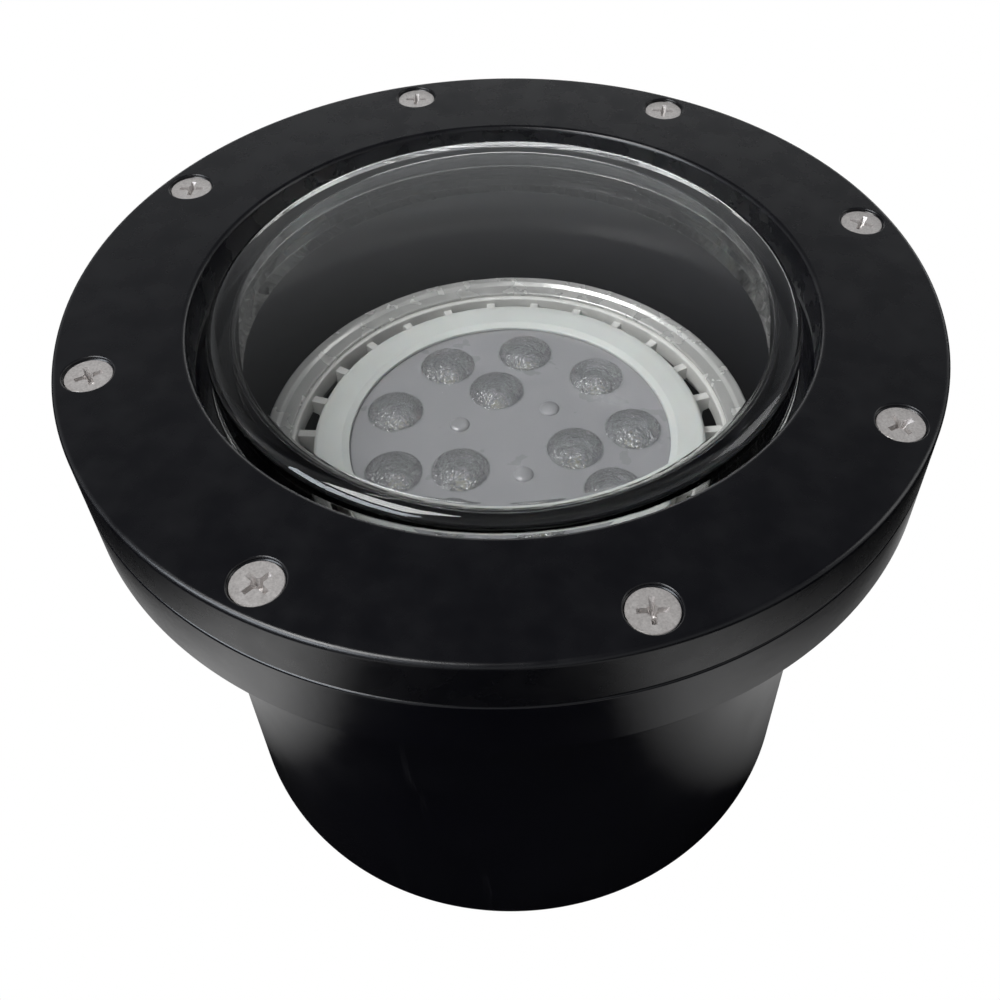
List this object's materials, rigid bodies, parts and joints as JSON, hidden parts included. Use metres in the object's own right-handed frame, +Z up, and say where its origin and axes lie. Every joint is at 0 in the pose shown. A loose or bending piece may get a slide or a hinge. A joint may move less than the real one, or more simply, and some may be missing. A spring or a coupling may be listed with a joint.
{
  "type": "underwater pond light",
  "caption": "Round underwater light: black pot housing with a bolted clamp ring, domed glass lens, cable gland and a sealed LED lamp on an aimable yoke.",
  "frame": {"origin": "centre of the housing's flat base, on its underside", "axes": "+Z up along the housing's axis towards the lens, +Y towards the cable gland, X along the lamp's pivot axis"},
  "size_m": [0.184, 0.19, 0.1435],
  "materials": {
    "housing": "gloss",
    "cover_ring": "satin",
    "lens": "polished",
    "black_rubber": "matte",
    "stainless_fasteners": "satin",
    "stainless_sheet": "satin",
    "stainless_ring": "satin",
    "brass_fittings": "satin",
    "gland_nylon": "satin",
    "white_washers": "satin",
    "tinned_lugs": "satin",
    "terminal_block": "satin",
    "lead_live": "satin",
    "lead_return": "satin",
    "lamp_heatsink": "satin",
    "lamp_bezel": "satin",
    "lamp_optic": "gloss",
    "thermal_pad": "matte",
    "led_board": "satin",
    "led_emitters": "gloss",
    "driver_board": "satin",
    "driver_parts": "satin",
    "lamp_base": "satin"
  },
  "bodies": {
    "housing": {"housing": "housing", "flange_inserts": "brass_fittings", "flange_seal": "black_rubber", "lens_gasket_lower": "black_rubber", "yoke_insert": "brass_fittings", "gland_washer": "black_rubber", "gland_body": "gland_nylon", "gland_locknut": "gland_nylon", "gland_seal": "black_rubber", "yoke_bolt": "stainless_fasteners", "yoke_washer": "white_washers"},
    "cover": {"cover_ring": "cover_ring", "cover_screws": "stainless_fasteners", "lens_gasket_upper": "black_rubber", "lens": "lens"},
    "gland_nut": {"gland_nut": "gland_nylon"},
    "yoke": {"yoke": "stainless_sheet", "terminal_block": "terminal_block", "terminal_screws": "stainless_fasteners", "lead_live": "lead_live", "lead_return": "lead_return"},
    "lamp": {"lamp_ring": "stainless_ring", "pivot_screws": "stainless_fasteners", "pivot_nuts": "stainless_fasteners", "pivot_washers": "white_washers", "ring_clips": "stainless_fasteners", "clip_screws": "stainless_fasteners", "lamp_heatsink": "lamp_heatsink", "lamp_bezel": "lamp_bezel", "lamp_optic": "lamp_optic", "thermal_pad": "thermal_pad", "led_board": "led_board", "led_emitters": "led_emitters", "board_screws": "stainless_fasteners", "driver_board": "driver_board", "driver_parts": "driver_parts", "lamp_base": "lamp_base", "lamp_terminals": "brass_fittings", "lead_lugs": "tinned_lugs"}
  },
  "joints": [
    {"name": "cover_lift", "type": "slide", "parent": "housing", "child": "cover", "axis": [0, 0, 1], "range_m": [0, 0.08]},
    {"name": "yoke_pan", "type": "hinge", "parent": "housing", "child": "yoke", "pos_m": [0, 0, 0.012], "axis": [0, 0, 1], "range_deg": [-175, 175]},
    {"name": "lamp_tilt", "type": "hinge", "parent": "yoke", "child": "lamp", "pos_m": [0, 0, 0.0846], "axis": [1, 0, 0], "range_deg": [-15, 15], "deforming": ["lead_live", "lead_return"]},
    {"name": "gland_nut_turn", "type": "hinge", "parent": "housing", "child": "gland_nut", "pos_m": [0, 0.0915, 0.022], "axis": [0, 1, 0], "continuous": true}
  ]
}
